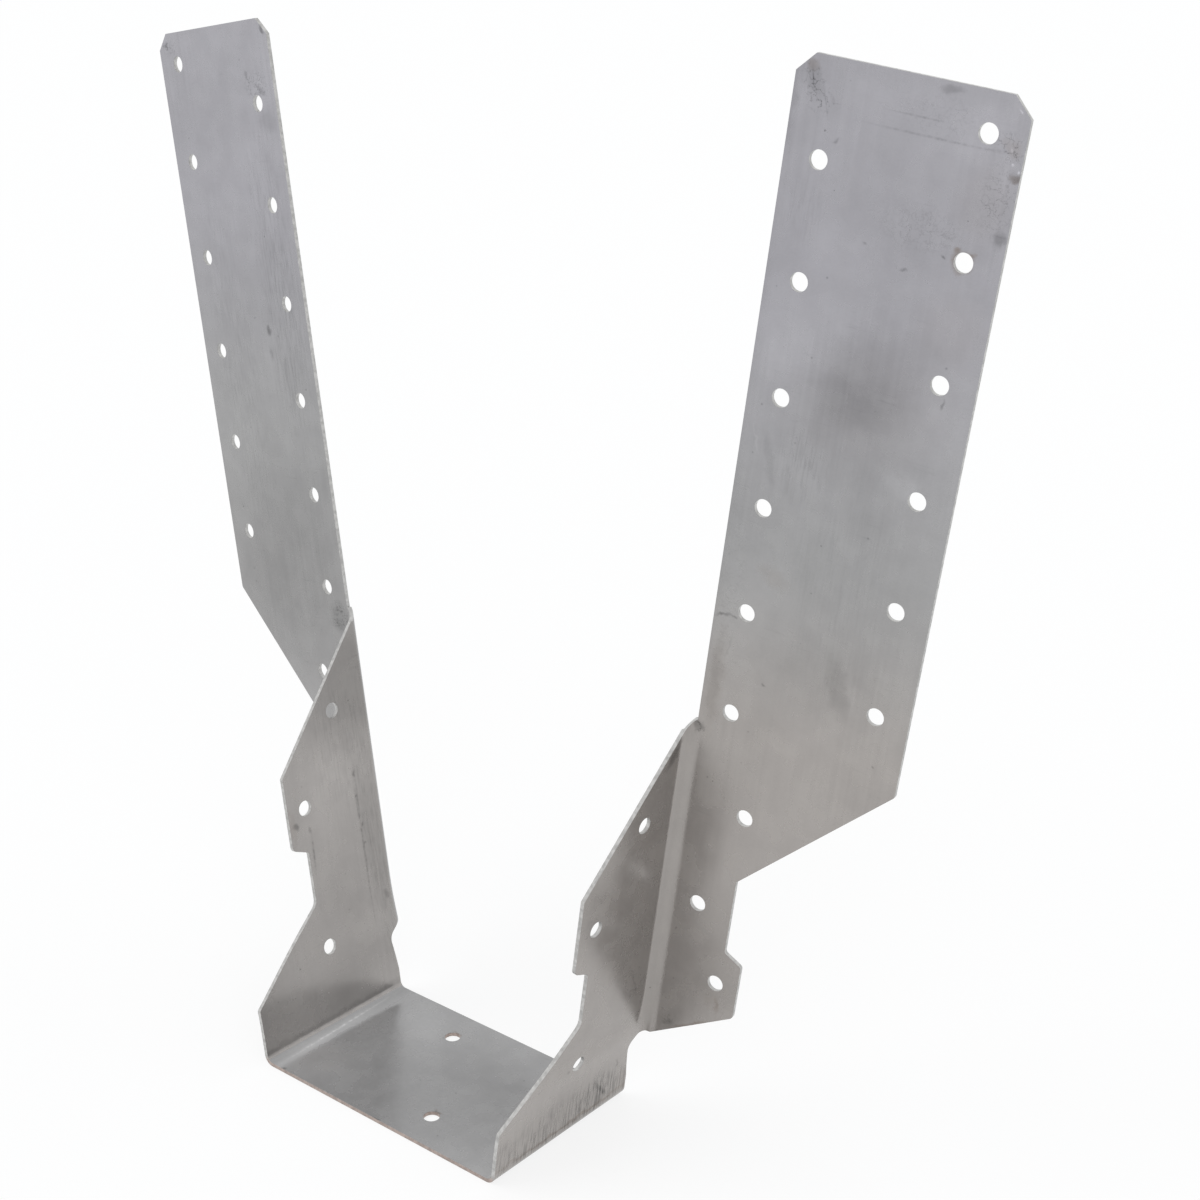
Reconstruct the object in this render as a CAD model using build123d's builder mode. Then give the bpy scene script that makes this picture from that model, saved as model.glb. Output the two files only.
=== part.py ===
import os
from math import cos, radians, sin, tan

from build123d import *

# Joist hanger: one stainless sheet, stamped and folded.
# The joist sits in the U between the cheeks, and the flanges are nailed to the header behind it.
# Origin at the centre of the seat's top face. X runs across the seat, Y back to the header, Z up.

# Sheet and folds
sheet = 1.0             # thickness
bend_radius = 1.8       # inside radius of every fold
foot_lean = 7.5         # next to the seat, each cheek leans out by this angle
gusset_lean = 13.8      # then it flares, and its gusset leans out by this angle
cheek_lean = 8.0        # above the knee, the cheek and its strap lean out by this angle
flange_swing = 6.7      # each flange is folded this much past square, away from the joist
flare_height = 12.0     # where the flare begins, up the sheet from the seat
knee_height = 27.0      # where the flare ends
knee_radius = 90.0      # the soft curve of both changes of lean

# Seat
seat_width = 77.4       # clear width between the cheeks at the seat, for a 75 mm joist
seat_depth = 48.0       # bearing length under the joist
rear_gap = 3.0          # the seat's rear edge stops this far short of the flanges
neck_gap = 4.3          # where the cheek's rear edge turns into the fold, it stands this far short

# Heights up the sheet, shared by cheek and flange, because their blanks nest
slope_top = 106.8       # outer end of the flange's sloping edge
crest = 106.8           # foot of the strap's inner edge, and the fold's top beside it
cheek_crest = 103.6     # the fold's top slopes down to this, where the cheek's sloping edge begins
notch_top = 69.9        # foot of the sloping edges
notch_low = 50.2        # lower corner of the flange's notch and of the cheek's tab
step_drop = 2.1         # the short edge from there slopes down by this much
elbow = 33.5            # below this, the gusset flares and the flange runs in to its fold
flange_foot = 18.2      # the flange's lowest point, in its fold
fold_foot = 18.4        # where the cheek's rear edge, turned back, crosses the fold's corner
rear_corner = 15.2      # where that edge turns back
gusset_front = 13.9     # height of the gusset's front edge

# Flange and strap, measured out from the cheek's outer face
strap_inset = 1.8
strap_width = 49.7
strap_top = 256.7
strap_corner = 4.0      # the strap's top corners are cut off at 45 degrees
notch_reach = 17.9
flange_tab_reach = 22.7

# Cheek, measured forward from the flange's front face
cheek_tab_reach = 31.7
cheek_neck_reach = 26.7

# Rounding of the blank's corners
tab_round = 1.6         # outward corners of the tabs
inner_round = 1.0       # inward corners of the notches
elbow_round = 3.0       # where the cheek's neck flares into the gusset
foot_round = 3.0        # where the flange's foot runs into the cheek's rear edge

# Nail holes
nail_hole = 4.1         # diameter
nail_pitch = 25.0       # up each column of the strap
strap_edge = 7.85       # from the strap's long edges to its two columns
top_edge = 8.0          # from the strap's top edge to the first hole of the outer column
stagger = 12.2          # the inner column starts this much lower
tab_edge = 5.9          # from the front of a tab to its hole
slope_nail = (17.3, 87.0)       # out and up: the flange's hole under its sloping edge
cheek_nail = (12.3, 82.5)       # forward and up: the cheek's hole under its sloping edge
gusset_nail = (24.9, 20.9)      # forward and up
seat_nail = (10.3, 14.5)        # across and along: the seat's two holes lie on a diagonal

# Places that follow from those sizes
flange_line = seat_depth / 2 + rear_gap     # the flange's front face, where it leaves the cheek
front_reach = rear_gap + seat_depth
strap_out = strap_inset + strap_width
join_height = 2 * bend_radius
rear_slope = (fold_foot - rear_corner) / neck_gap
notch_middle = (notch_top + notch_low) / 2
flange_tab_middle = (notch_low - step_drop + elbow) / 2
beyond = strap_out + front_reach    # past every edge of the sheet
punch = 4 * sheet                   # past the sheet on both sides, through its lean too

# The fold between cheek and flange, from its corner to where each side becomes flat
half_turn = radians(90 - flange_swing) / 2
fold_reach = bend_radius * tan(half_turn)
fold_half = fold_reach * cos(half_turn)     # the same, seen straight into the fold


def directions(lean):
    """Up the right-hand sheet, and square out of it, at this lean."""
    up = Vector(sin(radians(lean)), 0, cos(radians(lean)))
    out = Vector(cos(radians(lean)), 0, -sin(radians(lean)))
    return up, out


back = Vector(0, 1, 0)
forward = back * -1
foot_up, foot_out = directions(foot_lean)
gusset_up, gusset_out = directions(gusset_lean)
cheek_up, cheek_out = directions(cheek_lean)
flange_out = cheek_out * cos(radians(flange_swing)) + back * sin(radians(flange_swing))

foot = Vector(seat_width / 2, flange_line, 0)
start = foot + foot_up * join_height
flare = foot + foot_up * flare_height
knee = flare + gusset_up * (knee_height - flare_height)
cheek_foot = knee - cheek_up * knee_height
crown = cheek_foot + cheek_up * (strap_top + sheet)

# On these planes the second axis runs up the sheet, so a height is the same on each.
fold_corner = cheek_foot + cheek_out * sheet
fold_across = (forward - flange_out).normalized()
cheek_plane = Plane(cheek_foot, x_dir=forward, z_dir=cheek_out * -1)
flange_plane = Plane(fold_corner, x_dir=flange_out, z_dir=flange_out.cross(cheek_up))
fold_plane = Plane(fold_corner, x_dir=fold_across, z_dir=fold_across.cross(cheek_up))

strap_inner_column = strap_inset + strap_edge
strap_outer_column = strap_out - strap_edge
first_outer = strap_top - top_edge
first_inner = first_outer - stagger
strap_rows = int((first_inner - slope_top) / nail_pitch) + 1
flange_holes = [slope_nail, (notch_reach / 2, notch_middle), (flange_tab_reach - tab_edge, flange_tab_middle)]
for row in range(strap_rows):
    flange_holes.append((strap_outer_column, first_outer - row * nail_pitch))
    flange_holes.append((strap_inner_column, first_inner - row * nail_pitch))
cheek_holes = [cheek_nail, (cheek_tab_reach - tab_edge, notch_middle), gusset_nail]

with BuildPart() as hanger:
    # Right-hand cheek and flange: an angle section, swept up through the flare and the knee.
    with BuildLine(Plane.XZ.offset(-flange_line)):
        FilletPolyline(
            (start.X, start.Z), (flare.X, flare.Z), (knee.X, knee.Z), (crown.X, crown.Z), radius=knee_radius
        )
    with BuildSketch(Plane(start, x_dir=foot_out, z_dir=foot_up)):
        with BuildLine():
            FilletPolyline(
                (sheet, -front_reach),
                (sheet, 0),
                (
                    sheet + beyond * cos(radians(flange_swing)),
                    beyond * sin(radians(flange_swing)),
                ),
                radius=bend_radius,
            )
            offset(amount=sheet, side=Side.LEFT)
        make_face()
    sweep()

    # The flange's outline, seen square to it. The cheek and the fold, at its left, are left whole.
    with BuildSketch(flange_plane):
        with BuildLine():
            FilletPolyline(
                (-beyond, -beyond),
                (bend_radius / 2, -beyond),
                (bend_radius / 2, flange_foot),
                (flange_tab_reach, elbow),
                (flange_tab_reach, notch_low - step_drop),
                (notch_reach, notch_low),
                (notch_reach, notch_top),
                (strap_out, slope_top),
                (strap_out, strap_top - strap_corner),
                (strap_out - strap_corner, strap_top),
                (strap_inset + strap_corner, strap_top),
                (strap_inset, strap_top - strap_corner),
                (strap_inset, crest),
                (-beyond, crest),
                radius=(0, 0, 0, tab_round, inner_round, inner_round, 0, inner_round, 0, 0, 0, 0, 0, 0),
                close=True,
            )
        make_face()
    extrude(amount=beyond, both=True, mode=Mode.INTERSECT)

    # The cheek's outline, seen square to it. The flange and the fold, at its left, are left whole.
    with BuildSketch(cheek_plane):
        with BuildLine():
            FilletPolyline(
                (rear_gap, 0),
                (rear_gap, join_height + bend_radius),
                (neck_gap, rear_corner),
                (-beyond, fold_foot + rear_slope * beyond),
                (-beyond, strap_top + beyond),
                (fold_reach, strap_top + beyond),
                (fold_reach, cheek_crest),
                (cheek_tab_reach, notch_top),
                (cheek_tab_reach, notch_low),
                (cheek_neck_reach, notch_low - step_drop),
                (cheek_neck_reach, elbow),
                (front_reach, gusset_front),
                (front_reach, 0),
                radius=(0, 0, foot_round, 0, 0, 0, 0, 0, tab_round, inner_round, elbow_round, inner_round, 0),
                close=True,
            )
        make_face()
    extrude(amount=beyond, both=True, mode=Mode.INTERSECT)

    # The fold's sloping top, seen straight into the fold.
    with BuildSketch(fold_plane):
        with BuildLine():
            Polyline(
                (-strap_inset * cos(half_turn), crest),
                (fold_half, cheek_crest),
                (beyond, cheek_crest),
                (beyond, crest + beyond),
                close=True,
            )
        make_face()
    extrude(amount=beyond, both=True, mode=Mode.SUBTRACT)

    # Right half of the seat, with the fold that turns up into the cheek.
    with BuildSketch(Plane.XZ):
        with BuildLine():
            FilletPolyline((0, 0), (foot.X, 0), (start.X, start.Z), radius=bend_radius)
            offset(amount=sheet, side=Side.RIGHT)
        make_face()
    extrude(amount=seat_depth / 2, both=True)

    # Nail holes of the right-hand side.
    for plane, holes in ((flange_plane, flange_holes), (cheek_plane, cheek_holes)):
        with BuildSketch(plane):
            with Locations(*holes):
                Circle(nail_hole / 2)
        extrude(amount=punch, both=True, mode=Mode.SUBTRACT)

    # The left-hand side is the mirror image.
    mirror(about=Plane.YZ)

    # The seat's holes are the one thing that isn't mirrored.
    across, along = seat_nail
    with BuildSketch(Plane.XY):
        with Locations((-across, along), (across, -along)):
            Circle(nail_hole / 2)
    extrude(amount=punch, both=True, mode=Mode.SUBTRACT)

hanger.part.label = "hanger"
os.makedirs("parts", exist_ok=True)
export_step(hanger.part, "parts/hanger.step")
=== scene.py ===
from math import cos, radians, sin

import bmesh
import bpy
from mathutils import Matrix, Vector


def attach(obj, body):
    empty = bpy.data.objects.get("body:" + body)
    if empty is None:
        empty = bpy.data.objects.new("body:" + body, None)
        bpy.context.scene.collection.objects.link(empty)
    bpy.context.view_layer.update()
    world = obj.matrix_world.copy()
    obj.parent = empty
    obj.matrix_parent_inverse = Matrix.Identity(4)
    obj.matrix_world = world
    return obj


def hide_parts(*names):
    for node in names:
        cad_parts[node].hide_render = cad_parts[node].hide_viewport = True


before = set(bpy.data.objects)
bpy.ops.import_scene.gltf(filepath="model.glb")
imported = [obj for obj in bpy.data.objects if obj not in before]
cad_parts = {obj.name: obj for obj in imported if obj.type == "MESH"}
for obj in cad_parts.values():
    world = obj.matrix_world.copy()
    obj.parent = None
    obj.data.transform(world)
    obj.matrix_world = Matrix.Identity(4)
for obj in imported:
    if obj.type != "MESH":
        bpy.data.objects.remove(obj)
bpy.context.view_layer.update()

scene = bpy.context.scene
scene.view_settings.view_transform = "Standard"

# Studio.
# A white paper floor under the hanger's seat and plain white all round, as in a light tent.
# Two broad soft lamps stand high in front, the stronger one on the left.
mm = 0.001
sheet = 1.0 * mm                # thickness of the hanger's sheet
floor_height = -sheet           # the underside of the seat
floor_half = 30.0
white = (1.0, 1.0, 1.0, 1.0)
full_glow = 1.0
paper_white = (0.98, 0.98, 0.98, 1.0)
paper_glow = 0.8                # this share of the seen floor is even white, and the rest takes the shadow
tent_white = (0.97, 0.985, 1.0, 1.0)
tent_strength = 0.74            # of the light that the tent throws on the hanger
lamp_spread = radians(50)
left_lamp = (-0.9, -0.6, 1.1)
left_strength = 0.8
right_lamp = (1.0, -0.9, 0.9)
right_strength = 0.5


def feed(tree, socket, source):
    """Links a socket to another node's output, or gives it a plain value."""
    if isinstance(source, bpy.types.NodeSocket):
        tree.links.new(source, socket)
    else:
        socket.default_value = source


def add(tree, kind, *sources, **settings):
    """Adds a node with these settings, its inputs fed in order."""
    node = tree.nodes.new("ShaderNode" + kind)
    for name, value in settings.items():
        setattr(node, name, value)
    for socket, source in zip(node.inputs, sources):
        feed(tree, socket, source)
    return node


def maths(tree, operation, *sources):
    return add(tree, "Math", *sources, operation=operation).outputs[0]


def seen_or_mirrored(tree):
    """1 for a ray from the camera, straight, mirrored or let through, and 0 for light on its way."""
    rays = add(tree, "LightPath").outputs
    seen = maths(tree, "MAXIMUM", rays["Is Camera Ray"], rays["Is Glossy Ray"])
    return maths(tree, "MAXIMUM", seen, rays["Is Transmission Ray"])


world = bpy.data.worlds.new("light_tent")
scene.world = world
world.use_nodes = True
tree = world.node_tree
tree.nodes.clear()
tent_light = add(tree, "Background", tent_white, tent_strength)
tent_wall = add(tree, "Background", white, full_glow)
tent = add(tree, "MixShader", seen_or_mirrored(tree), tent_light.outputs[0], tent_wall.outputs[0])
add(tree, "OutputWorld", tent.outputs[0])

paper = bpy.data.materials.new("white_paper")
paper.use_nodes = True
tree = paper.node_tree
tree.nodes.clear()
matt = add(tree, "BsdfDiffuse", paper_white)
glow = add(tree, "Emission", white, full_glow)
share = maths(tree, "MULTIPLY", seen_or_mirrored(tree), paper_glow)
sheet_of_paper = add(tree, "MixShader", share, matt.outputs[0], glow.outputs[0])
add(tree, "OutputMaterial", sheet_of_paper.outputs[0])

floor_mesh = bpy.data.meshes.new("floor")
bm = bmesh.new()
bmesh.ops.create_grid(bm, x_segments=1, y_segments=1, size=floor_half)
bmesh.ops.translate(bm, verts=bm.verts, vec=(0, 0, floor_height))
bm.to_mesh(floor_mesh)
bm.free()
floor_mesh.materials.append(paper)
floor = bpy.data.objects.new("floor", floor_mesh)
scene.collection.objects.link(floor)


def soft_lamp(name, place, strength):
    """A broad lamp at this place that faces the seat."""
    light = bpy.data.lights.new(name, "SUN")
    light.angle = lamp_spread
    light.energy = strength
    lamp = bpy.data.objects.new(name, light)
    scene.collection.objects.link(lamp)
    lamp.location = place
    towards_seat = -Vector(place)
    lamp.rotation_euler = towards_seat.to_track_quat("-Z", "Y").to_euler()
    lamp.visible_glossy = False


soft_lamp("lamp_left", left_lamp, left_strength)
soft_lamp("lamp_right", right_lamp, right_strength)

# The camera's lens, place and turn were fitted to the nail holes in the photo.
sensor_width = 36.0
lens = 58.681
camera_place = (0.30151, -0.30327, 0.28134)
camera_turn = (radians(70.2241), radians(-0.2355), radians(39.63))
camera_data = bpy.data.cameras.new("camera")
camera_data.sensor_fit = "HORIZONTAL"
camera_data.sensor_width = sensor_width
camera_data.lens = lens
camera = bpy.data.objects.new("camera", camera_data)
scene.collection.objects.link(camera)
camera.location = camera_place
camera.rotation_euler = camera_turn
scene.camera = camera

# The folded sheet.
# One blank of 1 mm stainless sheet, punched with its outline and nail holes, then folded up.
# The punch leaves each cut a little rounded at its rims. Its faces are told apart here by place.
cheek_lean = radians(8.0)
flange_swing = radians(6.7)
fold_corner = Vector((41.08, 27.0, -0.41)) * mm    # right side: where the two outer faces would meet
rim_round = 0.13 * mm
rim_steps = 2
same_point = 0.002 * mm
sharp_turn = radians(40)
flat_within = radians(0.4)
seat_top = 0.45 * mm            # skins lower than this belong to the seat, up to the middle of its folds
fold_line = 26.5 * mm           # skins further back than this belong to the flange, from mid-fold on
flat_face_weight = 100          # the most: beside a bend, a large flat face keeps its own normal

cad_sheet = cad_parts["hanger"]
bm = bmesh.new()
bm.from_mesh(cad_sheet.data)
bmesh.ops.remove_doubles(bm, verts=bm.verts, dist=same_point)
bmesh.ops.dissolve_limit(bm, angle_limit=flat_within, verts=bm.verts, edges=bm.edges)


def smooth_patch(first):
    """All faces that can be reached from this one without crossing a sharp edge."""
    patch = {first}
    edge_of_patch = [first]
    while edge_of_patch:
        for edge in edge_of_patch.pop().edges:
            if edge.calc_face_angle(0) < sharp_turn:
                for face in edge.link_faces:
                    if face not in patch:
                        patch.add(face)
                        edge_of_patch.append(face)
    return patch


patches = []
left_over = set(bm.faces)
while left_over:
    patch = smooth_patch(next(iter(left_over)))
    left_over -= patch
    patches.append(patch)
patches.sort(key=lambda patch: sum(face.calc_area() for face in patch))
skins = patches[-1] | patches[-2]

finishes = ("cut_edge", "seat", "right_strap", "right_cheek", "left_strap", "left_cheek")
for face in bm.faces:
    middle = face.calc_center_median()
    side = "right_" if middle.x > 0 else "left_"
    if face not in skins:
        finish = "cut_edge"
    elif middle.z < seat_top:
        finish = "seat"
    elif middle.y > fold_line:
        finish = side + "strap"
    else:
        finish = side + "cheek"
    face.material_index = finishes.index(finish)

rims = [edge for edge in bm.edges if edge.calc_face_angle(0) > sharp_turn]
bmesh.ops.bevel(
    bm, geom=rims, affect="EDGES", offset=rim_round, offset_type="OFFSET",
    segments=rim_steps, profile=0.5, material=-1, clamp_overlap=True,
)
bmesh.ops.recalc_face_normals(bm, faces=bm.faces)
for face in bm.faces:
    face.smooth = True
sheet_mesh = bpy.data.meshes.new("folded_sheet")
bm.to_mesh(sheet_mesh)
bm.free()
folded_sheet = bpy.data.objects.new("folded_sheet", sheet_mesh)
scene.collection.objects.link(folded_sheet)
flat_normals = folded_sheet.modifiers.new("flat_normals", "WEIGHTED_NORMAL")
flat_normals.mode = "FACE_AREA"
flat_normals.weight = flat_face_weight

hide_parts("hanger")
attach(folded_sheet, "root")

# Mill finish of the sheet, with a painted reflection tint.
# Cold-rolled stainless, pickled to a satin grey: soft clouds, faint streaks along the rolling,
# specks of dirt and hairline scratches from handling. Its grey is painted lighter and cooler high up
# and warmer low down, standing in for cool light reflected from above and warm light bounced off the
# floor.
# Painted reflection: the high grey is lighter and cooler for light from above, the low grey warmer for the
# floor's bounce.
high_grey = (0.372, 0.366, 0.392, 1.0)
middle_grey = (0.352, 0.350, 0.351, 1.0)
low_grey = (0.372, 0.350, 0.333, 1.0)
dirt_brown = (0.20, 0.15, 0.115, 1.0)
metal_share = 0.7
low_to_middle = (100, 150)      # millimetres up, over which one grey goes over into the next
middle_to_high = (140, 215)
cloud_depth = 0.30              # how strongly each texture lightens and darkens the grey
mottle_depth = 0.26
grain_depth = 0.10
streak_depth = 0.18
streak_stretch = 0.025          # up the sheet, along the rolling
satin = (0.22, 0.30)            # roughness, from the smoothest spots to the dullest
wave_height = 0.09              # millimetres, as is the grain's
grain_height = 0.002
speck_cells = 0.105             # cells per millimetre, each with room for one speck of dirt
speck_luck = 0.45               # cells with less luck than this stay clean
speck_reach = 0.036             # radius of the largest speck, as a share of a cell's width
speck_rim = 0.025
hairline_reach = 0.004
hairline_rows = ((14, 0.02), (-52, 0.03), (84, 0.015))      # turn in degrees, and stretch
scribble_reach = 0.03


def group(name, inputs, outputs):
    """A node group with these named inputs and outputs, what it is given and what it puts out."""
    made = bpy.data.node_groups.new(name, "ShaderNodeTree")
    for socket_name, kind, value in inputs:
        socket = made.interface.new_socket(socket_name, in_out="INPUT", socket_type="NodeSocket" + kind)
        socket.default_value = value
    for socket_name, kind in outputs:
        made.interface.new_socket(socket_name, in_out="OUTPUT", socket_type="NodeSocket" + kind)
    return made, made.nodes.new("NodeGroupInput").outputs, made.nodes.new("NodeGroupOutput").inputs


def use(tree, made, *sources):
    """Places a node group in a tree, its inputs fed in order, and gives its outputs."""
    return add(tree, "Group", *sources, node_tree=made).outputs


def vector_maths(tree, operation, *sources):
    return add(tree, "VectorMath", *sources, operation=operation).outputs[0]


def ramp(tree, value, low, high, to_low=0.0, to_high=1.0):
    """A soft step: to_low up to low, to_high from high on."""
    step = add(tree, "MapRange", value, low, high, to_low, to_high, interpolation_type="SMOOTHSTEP")
    return step.outputs[0]


def noise(tree, place, scale, detail, roughness=0.5, dimensions="3D", output="Fac"):
    texture = add(tree, "TexNoise", noise_dimensions=dimensions)
    tree.links.new(place, texture.inputs["Vector"])
    texture.inputs["Scale"].default_value = scale
    texture.inputs["Detail"].default_value = detail
    texture.inputs["Roughness"].default_value = roughness
    return texture.outputs[output]


def stretched(tree, place, turn, stretch):
    """Turns a place by this many degrees and scales it by these factors across and up."""
    moved = ((0, 0, 0), (0, 0, radians(turn)), (*stretch, 1.0))
    return add(tree, "Mapping", place, *moved, vector_type="POINT").outputs[0]


def thin_lines(tree, place, scale, detail, reach, roughness=0.5):
    """Wandering lines, 1 at their middle and 0 from this reach of a flat noise on."""
    ridge = maths(tree, "SUBTRACT", noise(tree, place, scale, detail, roughness, "2D"), 0.5)
    return ramp(tree, maths(tree, "ABSOLUTE", ridge), 0.0, reach, 1.0, 0.0)


def blend_colours(tree, share, first, second, way="MIX"):
    mix = add(tree, "Mix", data_type="RGBA", blend_type=way)
    feed(tree, mix.inputs[0], share)
    feed(tree, mix.inputs[6], first)
    feed(tree, mix.inputs[7], second)
    return mix.outputs[2]


def shaded(tree, colour, shade):
    """The colour, lightened or darkened by this factor."""
    factor = add(tree, "CombineColor", shade, shade, shade).outputs[0]
    return blend_colours(tree, 1.0, colour, factor, "MULTIPLY")


# Place is in millimetres from the middle of the seat. Shade is a factor near 1.
mill_finish, given, result = group(
    "mill_finish",
    [("Place", "Vector", (0, 0, 0)), ("Warmth", "Float", 1.0)],
    [("Grey", "Color"), ("Shade", "Float"), ("Roughness", "Float"), ("Height", "Float")],
)
axes = add(mill_finish, "SeparateXYZ", given["Place"]).outputs
upper = blend_colours(mill_finish, ramp(mill_finish, axes[2], *middle_to_high), middle_grey, high_grey)
# Painted reflection tint: low down, this share of the warm grey stands for warm light bounced off the
# floor.
lower = blend_colours(mill_finish, given["Warmth"], middle_grey, low_grey)
grey = blend_colours(mill_finish, ramp(mill_finish, axes[2], *low_to_middle), lower, upper)
mill_finish.links.new(grey, result["Grey"])

clouds = noise(mill_finish, given["Place"], scale=0.028, detail=3)
mottle = noise(mill_finish, given["Place"], scale=0.16, detail=4)
grain = noise(mill_finish, given["Place"], scale=2.4, detail=2)
outward = maths(mill_finish, "ABSOLUTE", axes[0])
upright = maths(mill_finish, "MULTIPLY_ADD", axes[2], -sin(cheek_lean), outward)
along = maths(mill_finish, "MULTIPLY", axes[2], streak_stretch)
rolling = add(mill_finish, "CombineXYZ", upright, axes[1], along).outputs[0]
streaks = noise(mill_finish, rolling, scale=0.9, detail=3, roughness=0.6)
patchy = noise(mill_finish, given["Place"], scale=0.035, detail=1)
where_streaked = ramp(mill_finish, patchy, low=0.42, high=0.62, to_low=0.25)
shade = 1.0
for texture, depth in ((clouds, cloud_depth), (mottle, mottle_depth), (grain, grain_depth)):
    centred = maths(mill_finish, "SUBTRACT", texture, 0.5)
    shade = maths(mill_finish, "MULTIPLY_ADD", centred, depth, shade)
centred = maths(mill_finish, "SUBTRACT", streaks, 0.5)
centred = maths(mill_finish, "MULTIPLY", centred, where_streaked)
shade = maths(mill_finish, "MULTIPLY_ADD", centred, streak_depth, shade)
mill_finish.links.new(shade, result["Shade"])
mill_finish.links.new(ramp(mill_finish, mottle, 0.3, 0.7, *satin), result["Roughness"])
waves = maths(mill_finish, "MULTIPLY", clouds, wave_height)
mill_finish.links.new(maths(mill_finish, "MULTIPLY_ADD", grain, grain_height, waves), result["Height"])

# Place is across and up one face, in millimetres. About half of the cells hold a speck.
handling, given, result = group(
    "handling",
    [("Place", "Vector", (0, 0, 0)), ("Seed", "Float", 0.0)],
    [("Specks", "Float"), ("Hairlines", "Float"), ("Scribble", "Float")],
)
shift = add(handling, "CombineXYZ", given["Seed"], given["Seed"], 0.0).outputs[0]
moved = vector_maths(handling, "ADD", given["Place"], shift)
cells = add(handling, "TexVoronoi", voronoi_dimensions="2D", feature="F1")
handling.links.new(moved, cells.inputs["Vector"])
cells.inputs["Scale"].default_value = speck_cells
luck = add(handling, "SeparateColor", cells.outputs["Color"]).outputs
reach = ramp(handling, luck[0], speck_luck, 1.0, to_high=speck_reach)
inside = maths(handling, "SUBTRACT", reach, cells.outputs["Distance"])
handling.links.new(ramp(handling, inside, 0.0, speck_rim), result["Specks"])
hairlines = 0.0
for turn, stretch in hairline_rows:
    laid = stretched(handling, moved, turn, (stretch, 1.0))
    line = thin_lines(handling, laid, scale=0.55, detail=2, reach=hairline_reach)
    hairlines = maths(handling, "MAXIMUM", hairlines, line)
patchy = noise(handling, moved, scale=0.09, detail=2, dimensions="2D")
broken = ramp(handling, patchy, low=0.52, high=0.64)
handling.links.new(maths(handling, "MULTIPLY", hairlines, broken), result["Hairlines"])
scribble = thin_lines(handling, moved, scale=0.55, detail=3, reach=scribble_reach, roughness=0.6)
handling.links.new(scribble, result["Scribble"])

# One mark on a face: a soft oval, size being half its length, half its width and how deep it reaches.
# It has its full strength over its core, a share of its size, and fades out to its rim.
small_mark = 1.0                # half a width in millimetres, up to which a mark has the small core
small_core = 0.1
large_core = 0.25
mark, given, result = group(
    "mark",
    [
        ("Place", "Vector", (0, 0, 0)),
        ("Middle", "Vector", (0, 0, 0)),
        ("Turn", "Vector", (0, 0, 0)),
        ("Size", "Vector", (1, 1, 1)),
        ("Core", "Float", large_core),
    ],
    [("Mask", "Float")],
)
laid = add(
    mark, "Mapping", given["Place"], given["Middle"], given["Turn"], given["Size"], vector_type="TEXTURE"
).outputs[0]
distance = add(mark, "VectorMath", laid, operation="LENGTH").outputs["Value"]
mark.links.new(ramp(mark, distance, given["Core"], 1.0, 1.0, 0.0), result["Mask"])

# The sheet's slight bow beside a fold: it rises most steeply where the bend starts, up to mid-bend.
# Metal is 1 or -1, the side of the face on which the metal lies, so that the other skin stays flat.
bend_start = 1.6                # from the line where the two faces would meet
mid_bend = 0.45
run_in = 9.0                    # the bow grows to its full height over this stretch above its start
skin_fade = (0.8, 0.97)         # millimetres into the metal, over which the bow fades out
bow_dulling = 0.18              # roughness added in the middle of the bow
bow, given, result = group(
    "bow",
    [
        ("Place", "Vector", (0, 0, 0)),
        ("Line", "Float", 0.0),
        ("Reach", "Float", 5.0),
        ("Slope", "Float", 1.0),
        ("Metal", "Float", -1.0),
        ("Start", "Float", 0.0),
    ],
    [("Height", "Float"), ("Near", "Float")],
)
axes = add(bow, "SeparateXYZ", given["Place"]).outputs
away = maths(bow, "ABSOLUTE", maths(bow, "SUBTRACT", axes[0], given["Line"]))
on_flat = maths(bow, "SUBTRACT", given["Reach"], maths(bow, "MAXIMUM", away, bend_start))
on_flat = maths(bow, "POWER", maths(bow, "MAXIMUM", on_flat, 0.0), 2.0)
on_flat = maths(bow, "DIVIDE", on_flat, maths(bow, "SUBTRACT", given["Reach"], bend_start))
in_bend = maths(bow, "SUBTRACT", maths(bow, "MINIMUM", away, bend_start), mid_bend)
in_bend = maths(bow, "POWER", maths(bow, "MAXIMUM", in_bend, 0.0), 2.0)
in_bend = maths(bow, "DIVIDE", in_bend, bend_start - mid_bend)
half_slope = maths(bow, "MULTIPLY", given["Slope"], 0.5)
rise = maths(bow, "MULTIPLY", maths(bow, "SUBTRACT", on_flat, in_bend), half_slope)
past_start = ramp(bow, maths(bow, "SUBTRACT", axes[1], given["Start"]), 0.0, run_in)
this_skin = ramp(bow, maths(bow, "MULTIPLY", axes[2], given["Metal"]), *skin_fade, 1.0, 0.0)
on_this_skin = maths(bow, "MULTIPLY", past_start, this_skin)
near = ramp(bow, away, 0.0, given["Reach"], 1.0, 0.0)
bow.links.new(maths(bow, "MULTIPLY", rise, on_this_skin), result["Height"])
bow.links.new(maths(bow, "MULTIPLY", near, on_this_skin), result["Near"])

# What every face's steel is made with: frames in millimetres, sums of marks, and how strongly they show.
part_frame = ((0, 0, 0), (0, 0, 0), (mm, mm, mm))
mark_wander = (2.4, 2.4, 0.0)   # how far a ragged mark's place strays, in millimetres
hairline_shade = -0.10
speck_shade = -0.35
tool_stretch = 0.07             # of the tool streaks, up the face


def face_frame(origin, across, up):
    """How a Mapping node turns object coordinates into millimetres across, up and into one face."""
    turn = Matrix((across, up, across.cross(up))).transposed().to_euler()
    return tuple(origin), tuple(turn), (mm, mm, mm)


def in_frame(tree, here, wanted):
    return add(tree, "Mapping", here, *wanted, vector_type="TEXTURE").outputs[0]


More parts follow.
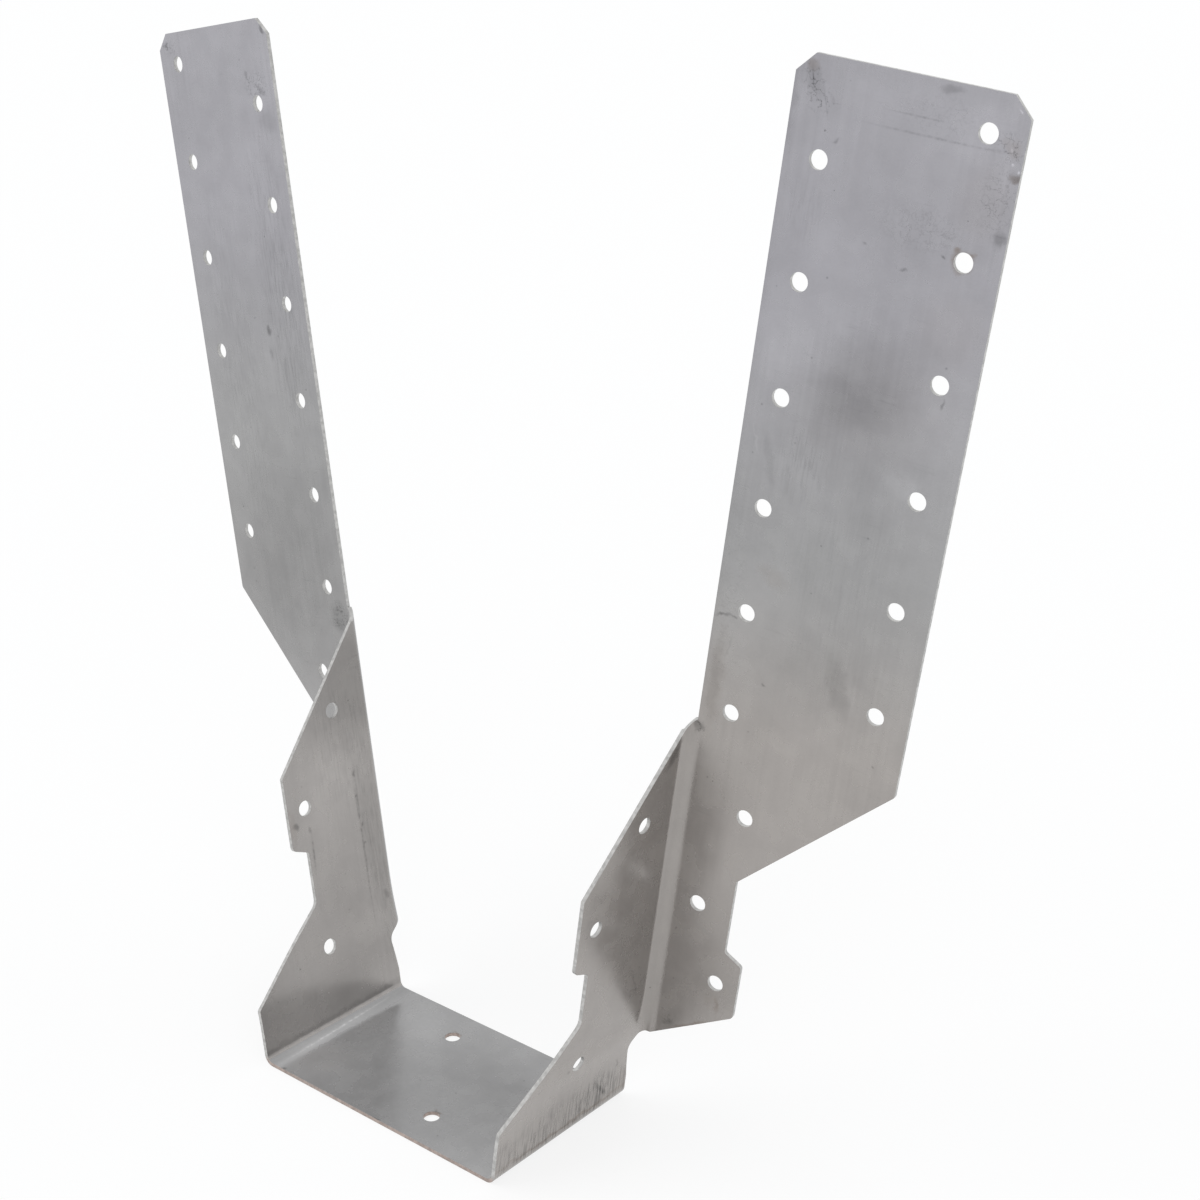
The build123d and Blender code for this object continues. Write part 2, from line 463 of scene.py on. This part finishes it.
def new_metal(name, metal):
    """A new metal material, its node tree, its shader's inputs and its object coordinates."""
    material = bpy.data.materials.new(name)
    material.use_nodes = True
    tree = material.node_tree
    shader = tree.nodes["Principled BSDF"].inputs
    shader["Metallic"].default_value = metal
    return material, tree, shader, add(tree, "TexCoord").outputs["Object"]


def marks(tree, place, rows, depth):
    """Adds up marks given as across, up, half length, half width, turn in degrees and strength."""
    total = 0.0
    for across, up, half_length, half_width, turn, strength in rows:
        core = large_core if min(half_length, half_width) > small_mark else small_core
        size = (half_length, half_width, depth)
        mask = use(tree, mark, place, (across, up, 0), (0, 0, radians(turn)), size, core)[0]
        total = maths(tree, "MULTIPLY_ADD", mask, strength, total)
    return total


# The face's warmth share sets how much of the painted warm floor bounce it gets low down.
def steel(
    name, frame_of_face, seed, metal=metal_share, warmth=1.0, depth=0.6,
    dark=(), light=(), brown=(), scribbled=(), streaky=(), scored=(), bowed=(),
):
    """The sheet's finish on one face, with that face's own marks, which reach this deep into it."""
    material, tree, shader, here = new_metal(name, metal)
    finish = use(tree, mill_finish, in_frame(tree, here, part_frame), warmth)
    on_face = in_frame(tree, here, frame_of_face)
    stray = noise(tree, on_face, scale=0.35, detail=3, dimensions="2D", output="Color")
    stray = vector_maths(tree, "SUBTRACT", stray, (0.5, 0.5, 0.5))
    ragged = vector_maths(tree, "ADD", on_face, vector_maths(tree, "MULTIPLY", stray, mark_wander))
    worn = use(tree, handling, on_face, seed)

    shade = finish["Shade"]
    shade = maths(tree, "MULTIPLY_ADD", worn["Hairlines"], hairline_shade, shade)
    shade = maths(tree, "MULTIPLY_ADD", worn["Specks"], speck_shade, shade)
    if light:
        shade = maths(tree, "ADD", shade, marks(tree, ragged, light, depth))
    if dark:
        shade = maths(tree, "SUBTRACT", shade, marks(tree, ragged, dark, depth))
    if scribbled:
        lines = maths(tree, "MULTIPLY", marks(tree, ragged, scribbled, depth), worn["Scribble"])
        shade = maths(tree, "SUBTRACT", shade, lines)
    if streaky:
        thin = stretched(tree, on_face, 0, (1.0, tool_stretch))
        lines = noise(tree, thin, scale=1.9, detail=2, roughness=0.7, dimensions="2D")
        lines = ramp(tree, lines, low=0.45, high=0.66)
        lines = maths(tree, "MULTIPLY", marks(tree, ragged, streaky, depth), lines)
        shade = maths(tree, "SUBTRACT", shade, lines)
    # Thin lines that darken as scratches; a negative strength makes a bright line instead, such as the
    # seat's fold line, which is partly painted highlight.
    if scored:
        gaps = noise(tree, on_face, scale=0.9, detail=2, roughness=0.6, dimensions="2D")
        gaps = ramp(tree, gaps, low=0.35, high=0.65, to_low=0.3)
        lines = maths(tree, "MULTIPLY", marks(tree, on_face, scored, depth), gaps)
        shade = maths(tree, "SUBTRACT", shade, lines)
    grey = finish["Grey"]
    if brown:
        grey = blend_colours(tree, marks(tree, ragged, brown, depth), grey, dirt_brown)
    tree.links.new(shaded(tree, grey, shade), shader["Base Color"])
    height = finish["Height"]
    roughness = finish["Roughness"]
    for line, reach, slope, metal_side, start in bowed:
        bent = use(tree, bow, on_face, line, reach, slope, metal_side, start)
        height = maths(tree, "ADD", height, bent["Height"])
        roughness = maths(tree, "MULTIPLY_ADD", bent["Near"], bow_dulling, roughness)
    tree.links.new(roughness, shader["Roughness"])
    bump = add(tree, "Bump")
    bump.inputs["Strength"].default_value = 1.0
    bump.inputs["Distance"].default_value = mm
    tree.links.new(height, bump.inputs["Height"])
    tree.links.new(bump.outputs[0], shader["Normal"])
    return material


# Cut edges.
# The punch shears the sheet: a bright burnished lip, and a duller torn band behind it.
# The seat's edges lie lowest and have begun to stain.
cut_grey = (0.50, 0.495, 0.485, 1.0)
stain_brown = (0.40, 0.33, 0.30, 1.0)
stain_heights = (-0.2, 1.5)     # millimetres up, over which the stain fades out
torn_shade = (0.82, 1.12)
torn_roughness = (0.42, 0.30)
cut_edge, tree, shader, here = new_metal("cut_edge", metal_share)
place = in_frame(tree, here, part_frame)
torn = noise(tree, place, scale=0.9, detail=3)
height = add(tree, "SeparateXYZ", place).outputs[2]
grey = blend_colours(tree, ramp(tree, height, *stain_heights), stain_brown, cut_grey)
torn_grey = shaded(tree, grey, ramp(tree, torn, 0.3, 0.7, *torn_shade))
tree.links.new(torn_grey, shader["Base Color"])
tree.links.new(ramp(tree, torn, 0.3, 0.7, *torn_roughness), shader["Roughness"])
sheet_mesh.materials.append(cut_edge)

# The seat.
# The joist bears on it. It is clean and cool grey, with small chips in its front edge.
# It is painted lighter towards its left fold, a painted reflection of the left cheek there. Along that
# fold runs a bright line and band, partly a crease left by the press and partly a painted highlight.
across_seat = Vector((1, 0, 0))
along_seat = Vector((0, 1, 0))
seat_frame = face_frame(Vector((0, 0, 0)), across_seat, along_seat)
sheet_mesh.materials.append(steel(
    "seat_steel", seat_frame, 11.0, metal=0.5, warmth=0.0,
    dark=[
        (-10.1, 14.5, 3.2, 2.8, 0, 0.10),
        (9.8, -12.6, 1.6, 0.8, 0, 0.35),
        (12.0, -4.0, 34.0, 32.0, 0, 0.20),
        (20.0, 8.0, 9.0, 2.5, 20, 0.05),
        (22.0, -2.0, 8.0, 2.0, -10, 0.04),
        (-33.0, -23.9, 1.0, 0.6, 0, 0.50),
        (1.0, -23.9, 2.0, 0.5, 0, 0.55),
    ],
    # Painted reflection: lighter towards the left fold, with a light band along it.
    light=[
        (-30.0, -8.0, 16.0, 26.0, 20, 0.20),
        (-22.0, 14.0, 12.0, 12.0, 0, 0.07),
        (-33.0, -17.0, 13.0, 16.0, 0, 0.16),
        (-33.6, 0.0, 4.0, 44.0, 0, 0.08),
    ],
    brown=[
        (-29.0, -15.0, 12.0, 10.0, 20, 0.06),
        (-10.3, 16.8, 2.0, 0.6, 0, 0.5),
        (10.3, -12.2, 2.0, 0.6, 0, 0.5),
    ],
    # The bright line and band along the left fold: partly the press's crease, partly painted highlight.
    scored=[
        (-36.3, -1.5, 0.55, 27.0, 2.6, -0.5),
        (-36.3, -1.5, 1.6, 27.0, 2.6, -0.15),
    ],
    bowed=[
        (-38.7, 6.4, 0.85, -1, -60),
    ],
))

# The right strap and flange.
# Nailed to the header. Stacking and handling have scuffed the strap's corners and drawn long
# scratches across its top, and a darker cloud lies over its middle.
lean_up = Vector((sin(cheek_lean), 0, cos(cheek_lean)))
lean_out = Vector((cos(cheek_lean), 0, -sin(cheek_lean)))
flange_out = lean_out * cos(flange_swing) + Vector((0, 1, 0)) * sin(flange_swing)
right_flange_frame = face_frame(fold_corner, flange_out, lean_up)
sheet_mesh.materials.append(steel(
    "right_strap_steel", right_flange_frame, 3.0,
    dark=[
        (34.8, 255.1, 3.2, 1.3, 0, 0.22),
        (6.2, 251.5, 2.4, 5.5, 20, 0.14),
        (1.8, 245.0, 1.6, 10.0, 0, 0.12),
        (29.0, 195.0, 20.0, 13.0, 38, 0.15),
        (24.0, 190.0, 15.0, 9.0, 10, 0.08),
        (28.0, 184.0, 24.0, 17.0, 15, 0.05),
        (4.4, 118.0, 2.0, 15.0, 0, 0.10),
        (7.0, 134.6, 1.0, 0.7, 0, 0.28),
        (3.4, 133.9, 0.9, 0.6, 0, 0.25),
        (30.0, 128.0, 24.0, 16.0, 0, 0.07),
        (10.5, 242.4, 0.6, 0.4, 0, 0.45),
        (12.8, 241.0, 1.2, 0.5, 40, 0.30),
        (50.0, 229.5, 2.0, 2.4, 0, 0.30),
        (50.6, 241.5, 1.6, 1.4, 30, 0.25),
        (39.3, 224.0, 0.6, 0.5, 0, 0.40),
        (31.9, 219.2, 1.6, 0.6, 20, 0.30),
        (22.6, 222.6, 0.5, 0.5, 0, 0.30),
        (44.9, 195.2, 0.5, 1.9, 0, 0.35),
        (33.4, 128.0, 3.6, 11.0, 17, 0.12),
        (16.5, 121.3, 0.6, 0.5, 0, 0.35),
        (9.2, 172.5, 1.4, 9.0, 15, 0.10),
        (4.7, 134.2, 3.6, 0.6, 16, 0.30),
        (6.6, 127.0, 0.4, 4.5, 0, 0.14),
        (2.4, 105.6, 1.8, 2.2, 0, 0.35),
        (45.4, 112.0, 0.6, 0.5, 0, 0.35),
        (18.0, 40.0, 9.0, 8.0, 0, 0.06),
        (30.0, 232.0, 26.0, 16.0, 0, 0.05),
        (4.6, 51.0, 0.5, 0.7, 0, 0.40),
        (6.0, 24.0, 3.0, 1.2, 34, 0.20),
    ],
    light=[
        (44.0, 251.0, 6.0, 4.5, -20, 0.07),
        (8.0, 200.0, 9.0, 12.0, 0, 0.06),
        (40.5, 176.0, 5.0, 4.0, 0, 0.08),
        (5.4, 176.7, 0.5, 6.0, 15, 0.10),
        (37.4, 126.5, 1.6, 8.0, 17, 0.06),
        (43.0, 214.0, 9.0, 8.0, 0, 0.04),
        # A light band along the fold: partly burnished by the press, partly painted highlight.
        (0.0, 62.0, 4.2, 44.0, 0, 0.04),
    ],
    brown=[
        (5.4, 254.2, 2.4, 1.3, 60, 0.28),
        (41.9, 225.9, 1.1, 0.9, 40, 0.45),
        (45.4, 225.6, 1.0, 0.8, -40, 0.35),
        (43.6, 223.9, 3.1, 3.1, 0, 0.80),
        (50.6, 241.4, 1.5, 1.3, 0, 0.38),
        (49.0, 247.0, 3.0, 2.0, -40, 0.18),
        (45.5, 236.0, 8.0, 11.0, 0, 0.08),
        (44.0, 210.0, 11.0, 10.0, 0, 0.07),
        (29.0, 190.0, 24.0, 18.0, 30, 0.06),
        (14.5, 147.0, 6.0, 3.0, -20, 0.12),
        (4.6, 118.0, 3.0, 18.0, 0, 0.12),
        (17.8, 35.0, 0.7, 3.0, 10, 0.35),
        (15.8, 35.5, 2.0, 3.0, 0, 0.10),
        (12.0, 26.2, 9.5, 0.8, 34, 0.45),
    ],
    scribbled=[
        (6.8, 250.0, 3.4, 8.0, 25, 0.42),
        (10.0, 247.6, 4.0, 1.8, 0, 0.36),
        (48.6, 247.0, 4.6, 3.4, -40, 0.45),
        (48.0, 237.0, 5.5, 10.0, 0, 0.30),
        (5.0, 140.0, 5.0, 30.0, 0, 0.12),
        (34.0, 228.0, 12.0, 6.0, 0, 0.22),
        (34.0, 250.0, 12.0, 6.0, 0, 0.14),
        (2.6, 105.4, 2.2, 2.4, 0, 0.55),
        (5.6, 25.0, 3.0, 2.0, 30, 0.45),
    ],
    streaky=[
        (17.0, 174.0, 8.0, 12.0, 0, 0.12),
        (8.0, 226.0, 7.0, 9.0, 0, 0.08),
        (30.0, 150.0, 20.0, 40.0, 0, 0.04),
    ],
    scored=[
        (29.4, 249.0, 9.0, 0.35, 0, 0.20),
        (33.0, 245.7, 20.0, 0.4, 0, 0.24),
        (46.0, 246.0, 5.0, 0.35, 3, 0.15),
        (5.8, 252.0, 0.3, 3.0, 12, 0.30),
        (9.4, 247.6, 0.3, 4.0, 18, 0.26),
        (49.6, 244.0, 0.5, 0.4, 0, -0.6),
        (51.0, 242.8, 0.4, 0.6, 0, -0.6),
        (48.9, 246.6, 0.3, 0.8, 20, -0.4),
        (49.3, 253.8, 0.9, 0.3, -45, -0.5),
    ],
    bowed=[
        (0.0, 3.3, 0.35, -1, 14),
    ],
))

# The right cheek and gusset.
# Nailed to the joist's side. The press has left fine upright tool streaks above the seat's fold,
# and the cheek's top corner is smeared dark.
forward = Vector((0, -1, 0))
right_cheek_frame = face_frame(fold_corner, forward, lean_up)
sheet_mesh.materials.append(steel(
    "right_cheek_steel", right_cheek_frame, 27.0, depth=8.0,
    dark=[
        (4.6, 98.0, 1.8, 5.6, 32, 0.38),
        (7.6, 36.0, 0.5, 4.0, -10, 0.25),
        (6.6, 34.0, 0.6, 0.6, 0, 0.35),
        (26.0, 8.0, 34.0, 11.0, 0, 0.10),
        (13.6, 6.9, 1.1, 6.0, -39, 0.26),
        (8.0, 11.8, 0.5, 2.2, -16, 0.26),
        (28.3, 20.1, 0.7, 0.6, 0, 0.30),
    ],
    light=[
        (3.0, 103.6, 1.2, 0.9, 0, 0.30),
    ],
    brown=[
        (10.0, 79.0, 8.0, 6.0, 0, 0.05),
        (25.0, 2.6, 40.0, 0.8, 0, 0.50),
        (24.6, 19.4, 1.4, 0.7, 0, 0.40),
        (3.0, 5.0, 5.0, 5.0, 0, 0.15),
    ],
    streaky=[
        (26.0, 4.8, 60.0, 9.0, 0, 0.36),
        (14.0, 6.0, 10.0, 8.0, 0, 0.20),
    ],
    scored=[
        (25.0, 2.4, 40.0, 0.4, 0, 0.20),
    ],
    bowed=[
        (0.0, 3.1, 0.85, 1, 18),
    ],
))

# The left strap and flange.
# The mirror image of the right one. Its inner top corner is scuffed, and dirt lies round its first hole.
def mirrored(place):
    return Vector((-place.x, place.y, place.z))


left_corner = mirrored(fold_corner)
left_up = mirrored(lean_up)
left_flange_frame = face_frame(left_corner, mirrored(flange_out), left_up)
sheet_mesh.materials.append(steel(
    "left_strap_steel", left_flange_frame, 41.0, warmth=0.15,
    dark=[
        (25.0, 118.0, 45.0, 45.0, 0, 0.17),
        (26.0, 180.0, 50.0, 34.0, 0, 0.07),
        (3.6, 253.8, 2.2, 1.2, 45, 0.45),
        (7.5, 239.5, 3.0, 1.2, 40, 0.25),
        (6.5, 232.0, 5.0, 4.0, 0, 0.12),
        (13.0, 243.5, 1.2, 1.6, 0, 0.22),
        (19.4, 179.4, 1.5, 1.7, 0, 0.42),
        (19.9, 173.4, 0.7, 2.6, 0, 0.22),
        (5.5, 103.5, 6.0, 6.0, 0, 0.16),
        (48.0, 254.0, 1.6, 0.9, -45, 0.30),
    ],
    scribbled=[
        (5.5, 103.5, 5.0, 6.0, 0, 0.60),
        (9.5, 241.0, 7.0, 5.0, 0, 0.45),
        (46.5, 253.0, 3.5, 2.5, 0, 0.55),
    ],
    streaky=[
        (12.0, 190.0, 12.0, 60.0, 0, 0.16),
        (36.0, 170.0, 14.0, 70.0, 0, 0.10),
    ],
))

# The left cheek and gusset.
# Its inner face is the one that lies against the joist. The press has left a dark crease line
# beside its fold, with spots of dirt along it, and a short one runs down from the tab.
left_inner_corner = left_corner - mirrored(lean_out) * sheet
left_cheek_frame = face_frame(left_inner_corner, forward, left_up)
sheet_mesh.materials.append(steel(
    "left_cheek_steel", left_cheek_frame, 59.0, warmth=0.75, depth=8.0,
    dark=[
        (8.0, 92.0, 26.0, 26.0, 0, 0.25),
        (14.0, 13.0, 18.0, 9.0, 0, 0.10),
        (15.0, 31.0, 12.0, 12.0, 0, 0.05),
        (24.0, 1.9, 60.0, 1.3, 0, 0.15),
        (3.0, 40.0, 5.0, 30.0, 0, 0.10),
        (6.4, 45.0, 2.4, 24.0, 0, 0.08),
        (7.8, 63.7, 0.7, 1.0, 0, 0.35),
        (8.3, 56.9, 0.7, 0.8, 0, 0.35),
        (7.6, 49.2, 0.7, 1.0, 0, 0.35),
        (7.5, 43.4, 0.7, 0.8, 0, 0.35),
        (29.8, 56.3, 1.3, 1.6, 0, 0.38),
        (25.2, 54.0, 0.9, 1.6, 0, 0.30),
        (2.6, 27.0, 1.2, 2.0, 0, 0.25),
    ],
    light=[
        (17.0, 60.0, 13.0, 18.0, 0, 0.10),
        (40.0, 6.0, 20.0, 13.0, 0, 0.09),
    ],
    brown=[
        (30.8, 56.0, 1.4, 7.0, 0, 0.14),
    ],
    streaky=[
        (4.0, 50.0, 7.0, 60.0, 0, 0.12),
        (14.0, 70.0, 12.0, 30.0, 0, 0.10),
    ],
    scored=[
        (8.0, 43.0, 0.5, 34.0, 0.4, 0.30),
        (8.4, 54.0, 0.35, 18.0, -1.0, 0.20),
        (25.1, 48.0, 0.5, 9.0, 2.0, 0.36),
    ],
))
